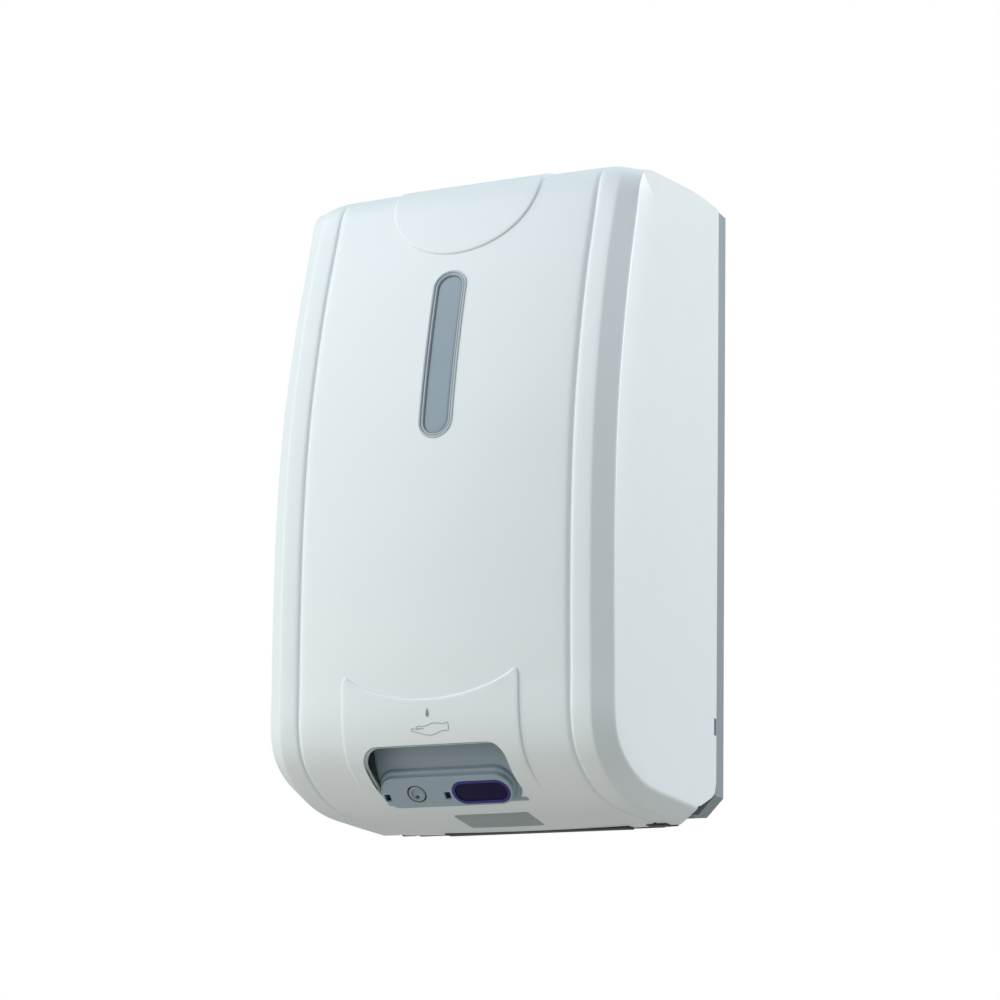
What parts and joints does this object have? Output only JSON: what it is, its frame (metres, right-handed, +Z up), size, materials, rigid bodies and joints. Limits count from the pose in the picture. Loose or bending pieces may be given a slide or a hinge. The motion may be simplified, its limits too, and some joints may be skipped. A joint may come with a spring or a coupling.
{
  "type": "wall-mounted touch-free soap dispenser",
  "caption": "Wall-mounted touch-free soap dispenser: a hinged, bowed front cover with a sight window over a refillable tank, hose pump, battery box and a nozzle nose.",
  "frame": {"origin": "middle of the four wall-screw holes, on the wall plane", "axes": "+X to the right as seen from the front, +Y into the wall, +Z up; the dispenser faces -Y"},
  "size_m": [0.156, 0.1331, 0.2805],
  "materials": {
    "cover_white": "moulded gloss ABS, very fine texture",
    "grey_plastic": "moulded matt ABS",
    "nose_grey": "moulded satin ABS",
    "dark_plastic": "moulded matt",
    "black_plastic": "moulded matt",
    "light_plastic": "acetal, satin",
    "clear_plastic": "translucent polypropylene",
    "window_clear": "clear acrylic with a grey tint",
    "dark_window": "infrared-pass acrylic, dark purple",
    "silicone": "translucent silicone hose",
    "valve_rubber": "soft valve",
    "board_green": "coated circuit board",
    "cell_sleeve": "plain sleeve on a cell",
    "contact_metal": "nickel-plated spring steel",
    "motor_steel": "zinc-plated can",
    "screw_steel": "plated",
    "brass_gear": "machined",
    "roller_blue": "moulded",
    "print_grey": "pad print",
    "label_silver": "plain silver label, no lettering"
  },
  "bodies": {
    "chassis": {"back_plate": "grey_plastic", "lower_deck": "grey_plastic", "soap_tank": "clear_plastic", "tank_outlet": "dark_plastic", "battery_box": "dark_plastic", "battery_cells": "cell_sleeve", "battery_contacts": "contact_metal", "pump_housing": "dark_plastic", "pump_cover": "grey_plastic", "pump_hose": "silicone", "feed_tube": "silicone", "outlet_tube": "silicone", "nozzle": "light_plastic", "nozzle_tip": "valve_rubber", "motor": "motor_steel", "motor_bracket": "dark_plastic", "sensor_housing": "nose_grey", "sensor_window": "dark_window", "sensor_board": "board_green", "ir_diodes": "dark_window", "status_lenses": "dark_window", "main_board": "board_green", "board_parts": "black_plastic", "control_panel": "grey_plastic", "hinge_rail": "black_plastic", "lock_strike": "dark_plastic", "frame_screws": "screw_steel"},
    "battery_door": {"battery_door": "grey_plastic"},
    "tank_lid": {"tank_lid": "grey_plastic"},
    "pump_rotor": {"pump_rotor": "light_plastic", "rollers": "roller_blue"},
    "motor_pinion": {"motor_pinion": "brass_gear"},
    "power_switch": {"power_switch": "black_plastic"},
    "volume_button": {"volume_button": "roller_blue"},
    "cover": {"front_cover": "cover_white", "cover_hinges": "black_plastic", "window_frame": "nose_grey", "window_lens": "window_clear", "hand_mark": "print_grey", "rating_plate": "label_silver", "lock_body": "dark_plastic"},
    "lock": {"lock_core": "screw_steel"}
  },
  "joints": [
    {"name": "cover_hinge", "type": "hinge", "parent": "chassis", "child": "cover", "pos_m": [0, -0.022, -0.134], "axis": [1, 0, 0], "range_deg": [0, 100]},
    {"name": "lock_turn", "type": "hinge", "parent": "cover", "child": "lock", "pos_m": [0, -0.04, 0.132], "axis": [0, 0, 1], "range_deg": [0, 90]},
    {"name": "tank_lid_hinge", "type": "hinge", "parent": "chassis", "child": "tank_lid", "pos_m": [0, -0.03, 0.091], "axis": [-1, 0, 0], "range_deg": [0, 100]},
    {"name": "battery_door_hinge", "type": "hinge", "parent": "chassis", "child": "battery_door", "pos_m": [0, -0.071, -0.0683], "axis": [1, 0, 0], "range_deg": [0, 90]},
    {"name": "pump_spin", "type": "hinge", "parent": "chassis", "child": "pump_rotor", "pos_m": [-0.038, -0.05, -0.094], "axis": [0, -1, 0], "continuous": true},
    {"name": "motor_spin", "type": "hinge", "parent": "chassis", "child": "motor_pinion", "pos_m": [-0.014, -0.065, -0.094], "axis": [0, -1, 0], "continuous": true},
    {"name": "switch_slide", "type": "slide", "parent": "chassis", "child": "power_switch", "axis": [1, 0, 0], "range_m": [0, 0.006]},
    {"name": "button_press", "type": "slide", "parent": "chassis", "child": "volume_button", "axis": [0, 1, 0], "range_m": [0, 0.002], "stiffness_N_per_m": 500}
  ],
  "couplings": [
    {"joint": "motor_spin", "follows": "pump_spin", "ratio": -4}
  ]
}
